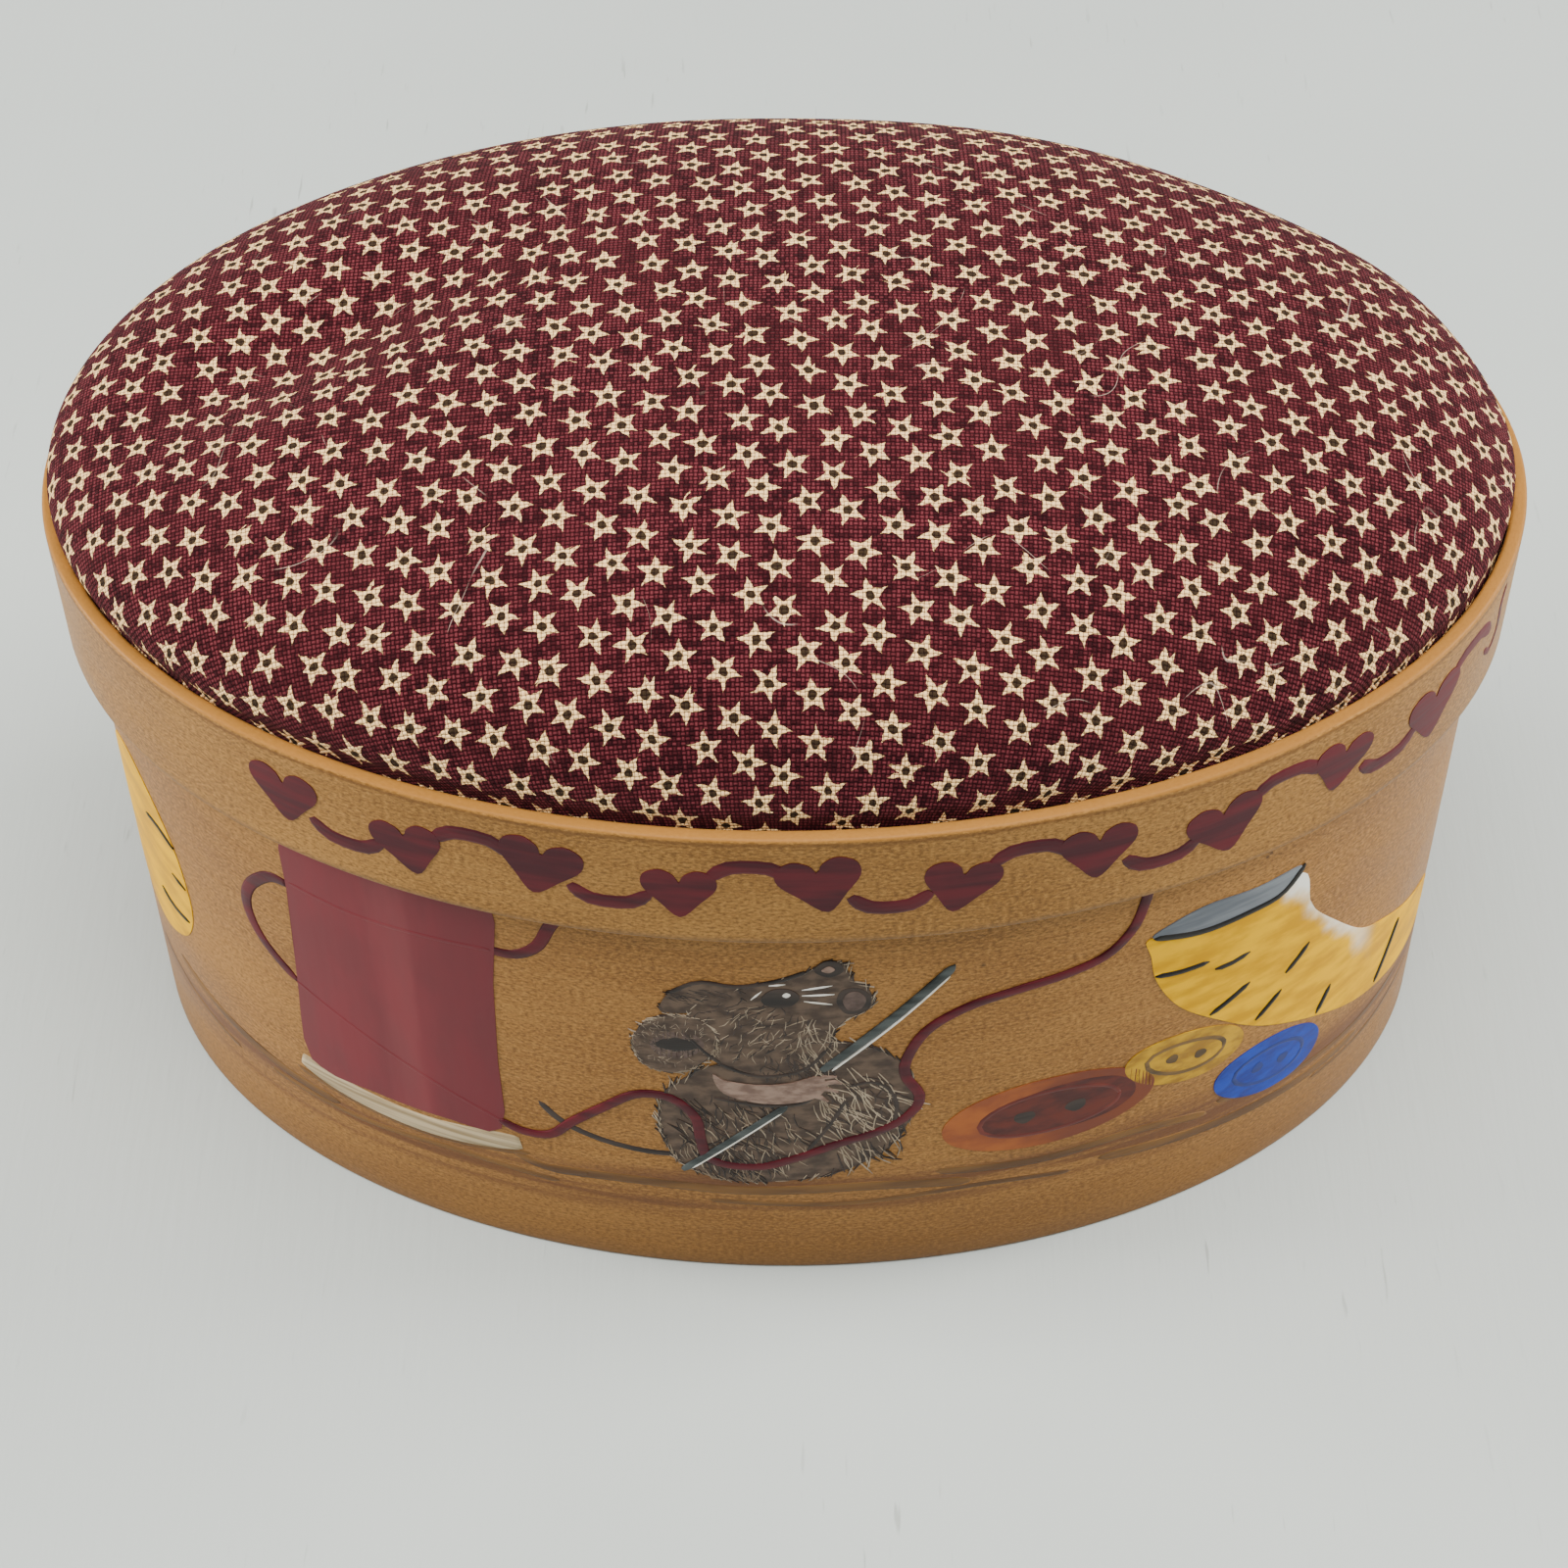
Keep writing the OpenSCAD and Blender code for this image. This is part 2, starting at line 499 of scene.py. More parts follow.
cushion_bm = bmesh.new()
bmesh.ops.create_cube(cushion_bm, size=2)
bmesh.ops.subdivide_edges(
    cushion_bm, edges=cushion_bm.edges[:], cuts=CUSHION_CUTS,
    use_grid_fill=True,
)
ball = np.array([v.co for v in cushion_bm.verts])
x2, y2, z2 = (ball**2).T
ball = ball * np.sqrt(
    np.stack([
        1 - y2 / 2 - z2 / 2 + y2 * z2 / 3,
        1 - z2 / 2 - x2 / 2 + z2 * x2 / 3,
        1 - x2 / 2 - y2 / 2 + x2 * y2 / 3,
    ], 1)
)
# The cloth's own flat position: as far from the crown as the cloth runs
share = np.linspace(0, 1, 60)
steep = np.arccos(np.clip(ball[:, 2], -1, 1))
ways = np.hypot(ball[:, 0], ball[:, 1]) + 1e-9
reach = np.hypot(
    CUSHION_A * ball[:, 0] / ways, CUSHION_B * ball[:, 1] / ways
)
slope = steep[:, None] * share[None, :]
pace = np.hypot(reach[:, None] * np.cos(slope), CUSHION_C * np.sin(slope))
run = pace.mean(1) * steep
heading = np.stack(
    [CUSHION_A * ball[:, 0] / ways, CUSHION_B * ball[:, 1] / ways], 1
) / reach[:, None]
cloth_flat = heading * run[:, None]
# Above its widest line the form is half an egg. Below it the cloth is tucked
# straight down inside the band and turned in flat under the card.
TURNED_IN = 0.40
below = np.clip(-ball[:, 2], 0, 1)
tuck = np.clip(below / TUCK, 0, 1)
tuck = tuck * tuck * (3 - 2 * tuck)
wall = 1 - (1 - IN_TRAY_A / CUSHION_A) * tuck
under = np.sqrt((1 - below**2) / (1 - TURNED_IN**2))
form = ball * (CUSHION_A, CUSHION_B, CUSHION_C)
form[:, :2] *= (
    np.where(below < TURNED_IN, wall, wall * under)
    / np.where(below > 0, np.sqrt(np.maximum(1 - below**2, 1e-6)), 1)
)[:, None]
DENT_AT, DENT_SIZE = (-47 * MM, 3.5 * MM), (17 * MM, 7.5 * MM)
DENT_DEEP = 3.8 * MM
lean = math.radians(30)
from_dent = form[:, :2] - DENT_AT
dent = np.exp(
    -((from_dent @ (math.cos(lean), math.sin(lean))) / DENT_SIZE[0]) ** 2
    - ((from_dent @ (-math.sin(lean), math.cos(lean))) / DENT_SIZE[1]) ** 2
) * (ball[:, 2] > 0)
form[:, 2] *= np.where(form[:, 2] > 0, SLACK, 1)
form[:, 2] -= DENT_DEEP * dent
form[:, 2] = np.maximum(form[:, 2] + WIDEST, UNDERSIDE)
cloth_uv = cushion_bm.loops.layers.uv.new("flat")
cushion_bm.verts.ensure_lookup_table()
for vert, place in zip(cushion_bm.verts, form):
    vert.co = place
for face in cushion_bm.faces:
    face.smooth = True
    for loop in face.loops:
        loop[cloth_uv].uv = cloth_flat[loop.vert.index]
bmesh.ops.recalc_face_normals(cushion_bm, faces=cushion_bm.faces[:])
cushion = new_object("cushion", cushion_bm)

held = cushion.vertex_groups.new(name="held")
for index, place in enumerate(form):
    in_tray = 1.0 if place[2] < WIDEST - 1.0 * MM else 0.0
    grip = max(in_tray, HOLD * dent[index])
    if grip > 0.05:
        held.add([index], grip, "REPLACE")
cloth = cushion.modifiers.new("cloth", "CLOTH")
cloth.settings.quality = 6
cloth.settings.mass = 0.15
cloth.settings.tension_stiffness = 8
cloth.settings.compression_stiffness = 8
cloth.settings.shear_stiffness = 8
cloth.settings.bending_stiffness = 2.0
cloth.settings.use_pressure = True
cloth.settings.uniform_pressure_force = 30
cloth.settings.vertex_group_mass = "held"
cloth.settings.effector_weights.gravity = 0
cloth.collision_settings.use_collision = False
for step in range(BLOWN_STEPS):
    bpy.context.scene.frame_set(step + 1)
settled = cushion.evaluated_get(bpy.context.evaluated_depsgraph_get())
blown = np.array([v.co for v in settled.data.vertices])
cushion.modifiers.clear()
cushion.vertex_groups.clear()
bpy.context.scene.frame_set(1)
moved = blown - form
# Wadding evens out the cloth's own lift, each point with its neighbours
ends = np.array([e.vertices[:] for e in cushion.data.edges])
degree = np.bincount(ends.ravel(), minlength=len(moved))[:, None]
for _ in range(EVENING):
    near = np.zeros_like(moved)
    np.add.at(near, ends[:, 0], moved[ends[:, 1]])
    np.add.at(near, ends[:, 1], moved[ends[:, 0]])
    moved = 0.5 * moved + 0.5 * near / degree
far = np.linalg.norm(moved, axis=1)
moved *= (np.minimum(far, MOST_BLOWN) / np.maximum(far, 1e-9))[:, None]
settled_form = form + moved
for vert, place in zip(cushion.data.vertices, settled_form):
    vert.co = place

soft = cushion.modifiers.new("soft", "SUBSURF")
soft.levels = soft.render_levels = 1

calico, tree, shader = new_material(
    "calico", 0.9, Sheen_Weight=0.02, Sheen_Roughness=0.4,
    Specular_IOR_Level=0.08
)
shader.inputs["Sheen Tint"].default_value = (0.9, 0.75, 0.72, 1)
flat = add(tree, "UVMap", {}, uv_map="flat")
wobble = add(
    tree, "TexNoise", {"Vector": flat, "Scale": 900.0, "Detail": 2.0}, 1
)
slip = add(
    tree, "VectorMath", {0: wobble, 1: (0.5, 0.5, 0.5)}, operation="SUBTRACT"
)
slip = add(
    tree, "VectorMath", {0: slip, "Scale": 0.7 * MM}, operation="SCALE"
)
printed = add(tree, "VectorMath", {0: flat, 1: slip}, operation="ADD")
turned = add(tree, "Mapping", {0: printed, 2: (0, 0, math.radians(17))})
tx = axis(tree, turned, 0)
ty = axis(tree, turned, 1)
row = calc(tree, "DIVIDE", ty, ROW_PITCH)
column = calc(
    tree, "MULTIPLY_ADD", row, -0.5, calc(tree, "DIVIDE", tx, STAR_PITCH)
)
lattice = add(tree, "CombineXYZ", {0: column, 1: row})
star_at = add(
    tree, "TexVoronoi", {"Vector": lattice, "Scale": 1.0, "Randomness": 0.19},
    2, voronoi_dimensions="2D", feature="F1",
)
away = add(tree, "VectorMath", {0: lattice, 1: star_at}, operation="SUBTRACT")
away_x = axis(tree, away, 0)
away_y = axis(tree, away, 1)
dx = calc(
    tree, "MULTIPLY", calc(tree, "MULTIPLY_ADD", away_y, 0.5, away_x),
    STAR_PITCH,
)
dy = calc(tree, "MULTIPLY", away_y, ROW_PITCH)
radius = calc(
    tree, "SQRT",
    calc(tree, "MULTIPLY_ADD", dx, dx, calc(tree, "MULTIPLY", dy, dy)),
)
chance = add(
    tree, "TexWhiteNoise", {"Vector": star_at}, 0, noise_dimensions="2D"
)
heading_angle = calc(
    tree, "MULTIPLY_ADD", chance, 2 * math.pi, calc(tree, "ARCTAN2", dy, dx)
)
fold = calc(
    tree, "PINGPONG", calc(tree, "ADD", heading_angle, 4 * math.pi),
    POINT_TURN,
)
side_x = STAR_IN * math.sin(POINT_TURN)
side_y = STAR_R - STAR_IN * math.cos(POINT_TURN)
edge = calc(
    tree, "MULTIPLY_ADD", calc(tree, "COSINE", fold), side_x,
    calc(tree, "MULTIPLY", calc(tree, "SINE", fold), side_y),
)
inside = calc(
    tree, "DIVIDE", calc(tree, "MULTIPLY", radius, edge), STAR_R * side_x
)
star = fade(tree, inside, 1.10, 0.94)
dot = fade(tree, radius, DOT_R + 0.06 * MM, DOT_R - 0.06 * MM)

uneven = grain(tree, flat, (300, 300, 1), 1.0)


def threads(which, offset):
    """The warp or the weft: its wave, how high it stands and its dye."""
    phase = calc(
        tree, "MULTIPLY_ADD", uneven, 0.6,
        calc(tree, "MULTIPLY", axis(tree, flat, which), math.pi / THREAD),
    )
    wave = calc(tree, "SINE", phase)
    number = calc(tree, "FLOOR", calc(tree, "DIVIDE", phase, math.pi))
    dye = add(
        tree, "TexWhiteNoise", {1: calc(tree, "ADD", number, offset)}, 0,
        noise_dimensions="1D",
    )
    return wave, calc(tree, "ABSOLUTE", wave), dye


warp, warp_up, warp_dye = threads(0, 0.0)
weft, weft_up, weft_dye = threads(1, 0.5)
over = fade(tree, calc(tree, "MULTIPLY", warp, weft), -0.12, 0.12)


def upper(of_warp, of_weft):
    """The warp's number where the warp is on top, and else the weft's."""
    return calc(
        tree, "ADD", calc(tree, "MULTIPLY", over, of_warp),
        calc(tree, "MULTIPLY", calc(tree, "SUBTRACT", 1.0, over), of_weft),
    )


weave = upper(
    calc(tree, "MULTIPLY", warp_up,
         calc(tree, "MULTIPLY_ADD", weft_up, 0.4, 0.6)),
    calc(tree, "MULTIPLY", weft_up,
         calc(tree, "MULTIPLY_ADD", warp_up, 0.4, 0.6)),
)
thread_dye = upper(warp_dye, weft_dye)
slubs = grain(tree, flat, (700, 700, 1), 2.0)
thread_dye = calc(
    tree, "MULTIPLY_ADD", thread_dye, 0.55,
    calc(tree, "MULTIPLY", fade(tree, slubs, 0.35, 0.65), 0.45),
)
dye_and_thread_highlight = blend(
    tree, thread_dye, (0.012, 0.0008, 0.0024),
    (0.072, 0.006, 0.010),
)
# Painted highlight on the tops of the threads, stronger on the lighter-dyed
# ones.
dye_and_thread_highlight = blend(
    tree, calc(
        tree, "MULTIPLY", fade(tree, weave, 0.45, 0.95),
        fade(tree, thread_dye, 0.15, 0.75, 0.10, 0.85),
    ), dye_and_thread_highlight, (0.155, 0.032, 0.040),
)
dye_and_thread_highlight = blend(
    tree, fade(tree, grain(tree, flat, (60, 60, 1), 3.0), 0.4, 0.7, 0.0, 0.5),
    dye_and_thread_highlight, (0.060, 0.008, 0.011),
)
cream = blend(
    tree, grain(tree, flat, (2500, 2500, 1), 1.0), (1.0, 0.54, 0.21),
    (1.0, 0.73, 0.36),
)
print_cover = calc(
    tree, "MULTIPLY", star, fade(tree, weave, 0.10, 0.45, 0.35, 1.0)
)
colour = blend(tree, print_cover, dye_and_thread_highlight, cream)
colour = blend(
    tree, calc(tree, "MULTIPLY", dot, 0.97), colour, (0.006, 0.002, 0.002)
)
# Painted shade in the gaps between the threads, a little less under the stars.
colour = blend(
    tree, calc(
        tree, "MULTIPLY", fade(tree, weave, 0.50, 0.15, 0.0, 0.85),
        calc(tree, "MULTIPLY_ADD", star, -0.30, 1.0),
    ), colour, (0.010, 0.001, 0.002),
)
strays = add(
    tree, "TexNoise", {"Vector": flat, "Scale": 70.0, "Detail": 0.0,
                       "Distortion": 0.5}
)
hairs = calc(tree, "ABSOLUTE", calc(tree, "SUBTRACT", strays, 0.5))
hairs = calc(
    tree, "MULTIPLY", fade(tree, hairs, 0.0026, 0.0010),
    fade(tree, grain(tree, flat, (90, 90, 1), 2.0), 0.56, 0.64, 0.0, 0.42),
)
colour = blend(tree, hairs, colour, (0.62, 0.48, 0.38))
tint(tree, shader, colour)
bump(tree, shader, weave, 0.14 * MM)

cushion.data.materials.append(calico)
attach(cushion, "lid")
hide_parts("cushion_cover", "cushion_filling")


# Painted spool: a reel of burgundy thread painted in acrylic on the left of
# the box front, with a cream wooden end below and a loop of thread to either
# side. A coat of paint is about a tenth of a millimetre thick.
COAT = 0.08
BEND_STEP = 1.5 * MM


def curve(points, closed=False, steps=6):
    """A smooth line through points given in millimetres, in metres."""
    p = np.array(points, float) * MM
    count = len(p) if closed else len(p) - 1
    line = []
    for i in range(count):
        if closed:
            q = [p[(i + k) % len(p)] for k in (-1, 0, 1, 2)]
        else:
            q = [p[min(max(i + k, 0), len(p) - 1)] for k in (-1, 0, 1, 2)]
        for t in np.arange(steps) / steps:
            line.append(
                q[1] + 0.5 * t * (
                    q[2] - q[0]
                    + t * (2 * q[0] - 5 * q[1] + 4 * q[2] - q[3])
                    + t * t * (3 * (q[1] - q[2]) + q[3] - q[0])
                )
            )
    if not closed:
        line.append(p[-1])
    return np.array(line)


def add_part(bm, part):
    """Moves what part holds into bm."""
    bmesh.ops.recalc_face_normals(part, faces=part.faces[:])
    passing = bpy.data.meshes.new("passing")
    part.to_mesh(passing)
    part.free()
    bm.from_mesh(passing)
    bpy.data.meshes.remove(passing)


def film(bm, points, lift=0.0, thick=COAT, steps=6):
    """A flat film of paint inside a closed line through points of (along,
    height), over lift of paint. All sizes are in millimetres."""
    outline = curve(points, closed=True, steps=steps)
    part = bmesh.new()
    face = part.faces.new(
        [part.verts.new((u, 0, v)) for u, v in outline]
    )
    bmesh.ops.triangulate(part, faces=[face])
    low, high = outline[:, 0].min(), outline[:, 0].max()
    first = math.ceil(low / BEND_STEP + 0.01) * BEND_STEP
    cut_across(part, 0, np.arange(first, high - 0.1 * MM, BEND_STEP))
    lifted = bmesh.ops.extrude_face_region(
        part, geom=part.faces[:], use_keep_orig=True
    )
    top = [g for g in lifted["geom"] if isinstance(g, bmesh.types.BMVert)]
    bmesh.ops.translate(part, vec=(0, (-lift - thick) * MM, 0), verts=top)
    add_part(bm, part)


def stroke(bm, points, width, lift=0.0, thick=COAT, tail=0.25, tip=0.25,
           steps=6):
    """A domed brush stroke through points, over lift of paint, in
    millimetres. Its ends narrow to the shares tail and tip of its width."""
    line = curve(points, steps=steps)
    width, lift, thick = width * MM, lift * MM, thick * MM
    gone = np.concatenate(
        [[0], np.cumsum(np.linalg.norm(np.diff(line, axis=0), axis=1))]
    )
    count = max(3, int(gone[-1] / (0.9 * MM)) + 1)
    ease = (1 - np.cos(np.linspace(0, math.pi, count))) / 2
    at = gone[-1] * (0.5 * ease + 0.5 * np.linspace(0, 1, count))
    u, v = np.interp(at, gone, line[:, 0]), np.interp(at, gone, line[:, 1])
    du, dv = np.gradient(u), np.gradient(v)
    size = np.hypot(du, dv)
    side = np.stack([-dv, du], 1) / size[:, None]
    from_end = np.minimum(at / width, 1)
    to_end = np.minimum((gone[-1] - at) / width, 1)
    half = width / 2 * np.minimum(
        tail + (1 - tail) * np.sqrt(from_end),
        tip + (1 - tip) * np.sqrt(to_end),
    )
    profile = [
        (across, up, lift)
        for across, up in ((-1, 0), (-0.7, 0.75), (0, 1), (0.7, 0.75), (1, 0))
    ]
    if lift > 0:
        profile = [(-1, 0, 0)] + profile + [(1, 0, 0)]
    part = bmesh.new()
    rows = [
        [
            part.verts.new((
                u[i] + side[i, 0] * half[i] * across,
                -deep - thick * up * min(1, half[i] / (0.3 * width)),
                v[i] + side[i, 1] * half[i] * across,
            ))
            for across, up, deep in profile
        ]
        for i in range(count)
    ]
    for one, two in zip(rows, rows[1:]):
        for j in range(len(profile) - 1):
            part.faces.new((one[j], two[j], two[j + 1], one[j + 1]))
        part.faces.new((one[-1], two[-1], two[0], one[0]))
    part.faces.new(rows[0])
    part.faces.new(rows[-1][::-1])
    add_part(bm, part)


def painted_piece(name, bm, material, body="box", smooth=False):
    """Bends the flat paint round its band and lets it ride there."""
    bmesh.ops.remove_doubles(bm, verts=bm.verts[:], dist=1e-7)
    lay_uv(bm)
    for face in bm.faces:
        face.smooth = smooth
    a, b = (BOX_A, BOX_B) if body == "box" else (LID_A, LID_B)
    bend(bm, a, b)
    made = new_object("painted_" + name, bm)
    made.data.materials.append(material)
    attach(made, body)


def acrylic(name, dark, light, brushed=(60, 500, 1)):
    """Hand-brushed acrylic paint, streaked between two tones."""
    material, tree, shader = new_material(name, 0.42, Specular_IOR_Level=0.15)
    where = add(tree, "UVMap", {}, uv_map="flat")
    brush = grain(tree, where, brushed, 4.0)
    tone = blend(tree, fade(tree, brush, 0.35, 0.65), dark, light)
    tint(tree, shader, tone)
    tree.links.new(
        fade(tree, brush, 0.3, 0.7, 0.36, 0.52), shader.inputs["Roughness"]
    )
    bump(tree, shader, brush, 0.04 * MM)
    return material, tree, shader, where, tone


burgundy, tree, shader, where, tone = acrylic(
    "burgundy", (0.130, 0.016, 0.022), (0.165, 0.024, 0.031), (220, 60, 1)
)
thread_red, *_ = acrylic(
    "thread_red", (0.045, 0.002, 0.007), (0.100, 0.008, 0.014)
)
along = axis(tree, where, 0)
sway = calc(
    tree, "MULTIPLY_ADD", grain(tree, where, (300, 40, 1), 3.0), 5 * MM,
    -2.5 * MM,
)
along = calc(tree, "ADD", along, sway)
shine = calc(
    tree, "MULTIPLY", fade(tree, along, -43 * MM, -39.5 * MM, 0.0, 0.30),
    fade(tree, along, -37.5 * MM, -39.2 * MM),
)
shade = fade(tree, along, -39.5 * MM, -31 * MM, 0.0, 0.40)
tone = blend(tree, shine, tone, (0.24, 0.052, 0.056))
tone = blend(tree, shade, tone, (0.105, 0.012, 0.018))
tint(tree, shader, tone)

wound = bmesh.new()
film(wound, [
    (-51.5, 58.5), (-45, 58.5), (-36, 58.5), (-28.5, 58.5), (-29, 45),
    (-29.5, 32), (-30, 20), (-36, 19), (-45, 19), (-53, 19.5), (-53, 32),
    (-52, 45),
], steps=3)
stroke(wound, [
    (-53, 33), (-45, 29), (-37, 25), (-30, 21.5),
], 0.6, lift=0.07, thick=0.06, tail=0.5, tip=0.5)
stroke(wound, [
    (-51.5, 50), (-44, 49.5), (-36, 50), (-29, 50.5),
], 0.6, lift=0.07, thick=0.06, tail=0.5, tip=0.5)
painted_piece("spool", wound, burgundy)

cream_paint, *_ = acrylic(
    "cream_paint", (0.27, 0.19, 0.095), (0.50, 0.39, 0.24), (60, 1500, 1)
)
spool_end = bmesh.new()
stroke(spool_end, [
    (-54.5, 18.5), (-48, 17), (-38, 16.5), (-28, 18),
], 3.2, lift=0.02, tail=0.6, tip=0.6)
painted_piece("spool_end", spool_end, cream_paint, smooth=True)

shadow_paint, *_ = acrylic(
    "shadow_paint", (0.085, 0.036, 0.010), (0.175, 0.082, 0.022)
)
under_spool = bmesh.new()
stroke(under_spool, [
    (-55.5, 16.5), (-48, 15.5), (-38, 15), (-27, 16.5),
], 0.9, thick=0.04, tail=0.1, tip=0.1)
stroke(under_spool, [
    (-29, 16), (-25, 14.5), (-20.5, 15),
], 1.2, thick=0.04, tail=0.2, tip=0.1)
painted_piece("spool_shadow", under_spool, shadow_paint, smooth=True)


# Painted ground: long thin brown brush strokes along the lower part of the
# front, the shadow that the painted things stand on.
ground = bmesh.new()
for line, width in (
    ([(-76, 17.5), (-66, 15.5), (-57, 14), (-50, 13.5)], 1.5),
    ([(-60, 12.5), (-48, 12.5), (-36, 13.5), (-24, 12.5)], 0.9),
    ([(-26, 14.5), (-16, 15), (-4, 14.5), (9, 15), (20, 14)], 1.6),
    ([(-8, 12.5), (6, 12), (20, 13), (31, 12)], 0.8),
    ([(16, 16.5), (27, 15.5), (38, 16), (47, 14)], 1.3),
    ([(34, 13), (46, 11.5), (58, 10.5), (70, 10.5)], 1.6),
    ([(48, 15.5), (58, 13), (68, 12.5), (78, 13.5)], 1.0),
    ([(62, 9), (72, 9), (82, 11)], 0.8),
    ([(-82, 15), (-74, 13), (-65, 11.5)], 0.8),
):
    stroke(ground, line, width, thick=0.02, tail=0.1, tip=0.05)
painted_piece("ground", ground, shadow_paint, smooth=True)


# Painted thread: the end of the thread loops off the spool, runs behind the
# mouse and away up under the lid, in burgundy lines about 1 mm wide.
thread = bmesh.new()
stroke(thread, [
    (-52, 49.5), (-54.5, 49), (-57.5, 45.5), (-58.5, 41.5), (-57, 37),
    (-53, 33),
], 1.5, tail=0.8, tip=0.4)
stroke(thread, [
    (-29.5, 50.5), (-26.5, 50.5), (-24, 52.5), (-22.5, 56), (-21, 58.5),
], 1.4, tail=0.6, tip=0.9)
stroke(thread, [
    (-30, 21.5), (-27.5, 20.5), (-24.5, 21), (-22, 24), (-18.5, 27.5),
    (-15, 30.5), (-11.5, 30.5), (-9, 27.5), (-8.5, 23.5), (-7.5, 20), (-3, 19),
    (1, 20.5), (5.5, 23), (10, 25), (13, 27.5), (14, 30.5), (12.5, 34),
    (12.5, 37), (14.5, 41.5), (18.5, 44.5), (23.5, 46), (28.5, 47),
    (32.5, 48.5), (35, 51.5), (36, 55), (36.5, 58.5),
], 1.15, lift=0.16, tail=0.6, tip=0.9)
painted_piece("thread", thread, thread_red, smooth=True)


# Painted mouse: a small grey-brown mouse sits by the thread with its nose up
# and a needle under one arm. It is built up from flat patches of paint, then
# fine strokes of fur in paler and darker tones.
mouse_brown, *_ = acrylic(
    "mouse_brown", (0.042, 0.024, 0.016), (0.115, 0.074, 0.050), (400, 700, 1)
)
mouse_dark, *_ = acrylic(
    "mouse_dark", (0.016, 0.011, 0.010), (0.050, 0.034, 0.028)
)
mouse_pink, *_ = acrylic(
    "mouse_pink", (0.15, 0.088, 0.066), (0.30, 0.20, 0.155), (500, 900, 1)
)
fur_pale, *_ = acrylic("fur_pale", (0.20, 0.150, 0.100), (0.40, 0.32, 0.23))
white_paint, *_ = acrylic(
    "white_paint", (0.62, 0.58, 0.50), (0.85, 0.82, 0.76)
)

fur_base = bmesh.new()
body_line = [
    (-6, 37), (-10, 34), (-12.5, 30), (-12.5, 24), (-10.5, 19), (-6, 16.5),
    (0, 16.5), (6, 18), (11, 22), (13.5, 28.5), (13, 34.5), (9.5, 39),
    (3.5, 40.5),
]
film(fur_base, body_line)
head_line = [
    (-8.5, 46.5), (-4.5, 49), (-0.5, 50.5), (2.5, 52), (4, 53), (6, 53),
    (7, 50.5), (8.5, 49), (9, 46.5), (7.5, 45), (5.5, 43), (4.5, 39.5),
    (2, 36), (-2.5, 35), (-6.5, 37), (-9.5, 41),
]
film(fur_base, head_line, lift=0.03)
low_ear = [
    (-15, 39.5), (-13.5, 43), (-10.5, 44.5), (-7.5, 43.5), (-6.5, 40.5),
    (-8, 37), (-11, 35), (-14, 36),
]
film(fur_base, low_ear, lift=0.06)
high_ear = [
    (-11.8, 45.0), (-11.0, 48.0), (-8.0, 49.8), (-4.6, 49.4), (-4.2, 47.0),
    (-7.4, 45.4),
]
film(fur_base, high_ear, lift=0.05)
painted_piece("mouse", fur_base, mouse_brown)

mouse_shade = bmesh.new()
stroke(mouse_shade, [
    (-25.5, 26.5), (-23, 23.5), (-19, 21.5), (-14.5, 20.5), (-10.5, 20.5),
], 0.9, tail=0.1, tip=0.9)
film(mouse_shade, [
    (-2.0, 47.6), (-1.0, 49.2), (0.8, 49.3), (1.8, 48.1), (0.9, 46.7),
    (-1.0, 46.5),
], lift=0.09)
film(mouse_shade, [
    (5.4, 47.2), (6.0, 49.0), (7.6, 49.2), (8.8, 47.6), (8.2, 45.6),
    (6.4, 45.2),
], lift=0.09, thick=0.05)
film(mouse_shade, [
    (3.2, 52.2), (4.2, 53.6), (5.6, 53.4), (6.0, 52.0), (4.6, 51.2),
], lift=0.09)
for edge_line in (
    [(-11, 48), (-8, 50), (-4.5, 49.5), (-0.5, 50.5), (2.5, 52)],
    [(-6.5, 37), (-2.5, 35), (2, 36), (4.5, 39.5)],
    [(-9.4, 41.2), (-7.6, 38.6), (-6.0, 36.8)],
    [(-7, 31), (-2.5, 30), (1, 30), (3, 31)],
    [(6.5, 33), (9.5, 33.5), (11.5, 30.5), (11.5, 25.5)],
    [(2.5, 22), (5, 27), (6.5, 31)],
):
    stroke(mouse_shade, edge_line, 0.5, lift=0.09)
stroke(mouse_shade, [
    (-12.6, 39.4), (-10.5, 39.8), (-8.4, 39.6),
], 2.4, lift=0.14, thick=0.02, tail=0.3, tip=0.3)
painted_piece("mouse_shading", mouse_shade, mouse_dark)

muzzle_paint, *_ = acrylic(
    "muzzle_paint", (0.055, 0.032, 0.026), (0.130, 0.085, 0.070), (500, 500, 1)
)
muzzle = bmesh.new()
film(muzzle, [
    (6.0, 47.4), (6.6, 48.6), (7.6, 48.6), (8.3, 47.4), (7.8, 46.0),
    (6.6, 45.8),
], lift=0.13, thick=0.04)
painted_piece("mouse_muzzle", muzzle, muzzle_paint)
ear_skin = bmesh.new()
film(ear_skin, [
    (-13.2, 39.6), (-11.4, 41.6), (-8.6, 41.4), (-7.8, 39.6), (-9.6, 37.6),
    (-12.2, 37.6),
], lift=0.06)
painted_piece("mouse_ear", ear_skin, muzzle_paint)

